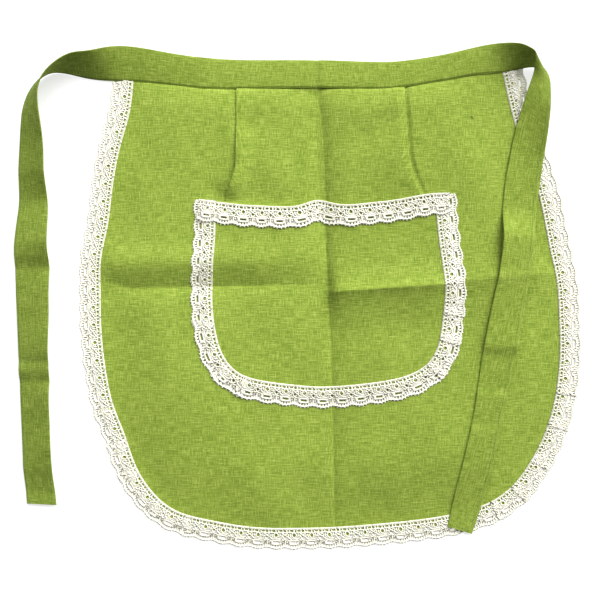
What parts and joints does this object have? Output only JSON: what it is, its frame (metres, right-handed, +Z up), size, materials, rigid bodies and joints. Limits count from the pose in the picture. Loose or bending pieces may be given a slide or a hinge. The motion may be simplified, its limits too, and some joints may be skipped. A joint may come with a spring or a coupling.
{
  "type": "half apron",
  "caption": "Linen half apron laid flat: rounded, lace-edged skirt tucked into a folded waistband with long ties that swing and unfold, and a lace-edged pocket.",
  "frame": {"origin": "middle of the waistband's length and width, on its underside", "axes": "+X along the waistband to the right as laid, +Y from the hem up to the waistband, +Z up out of the surface it lies on"},
  "size_m": [0.5626, 0.5059, 0.03],
  "materials": {
    "linen": "plain-weave linen, soft and matte",
    "lace": "cotton bobbin-type lace, cream",
    "lace_thread": "cream sewing thread",
    "green_thread": "green sewing thread"
  },
  "bodies": {
    "apron": {"waistband": "linen", "skirt_panel": "linen", "skirt_lace": "lace", "skirt_lace_stitching": "lace_thread", "pocket_panel": "linen", "pocket_side_lace": "lace", "pocket_top_lace": "lace", "pocket_stitching": "lace_thread", "left_tie_bend": "linen", "right_tie_bend": "linen"},
    "left_tie": {"left_tie": "linen", "left_tie_stitching": "green_thread"},
    "right_tie": {"right_tie": "linen", "right_tie_stitching": "green_thread"}
  },
  "joints": [
    {"name": "left_tie_swing", "type": "hinge", "parent": "apron", "child": "left_tie", "pos_m": [-0.284, -0.006, 0], "axis": [0, 0, 1], "range_deg": [-100, 4]},
    {"name": "right_tie_unfold", "type": "hinge", "parent": "apron", "child": "right_tie", "pos_m": [0.214, 0.0016, 0.0055], "axis": [-0.3971, 0.9178, 0], "range_deg": [0, 175]}
  ]
}
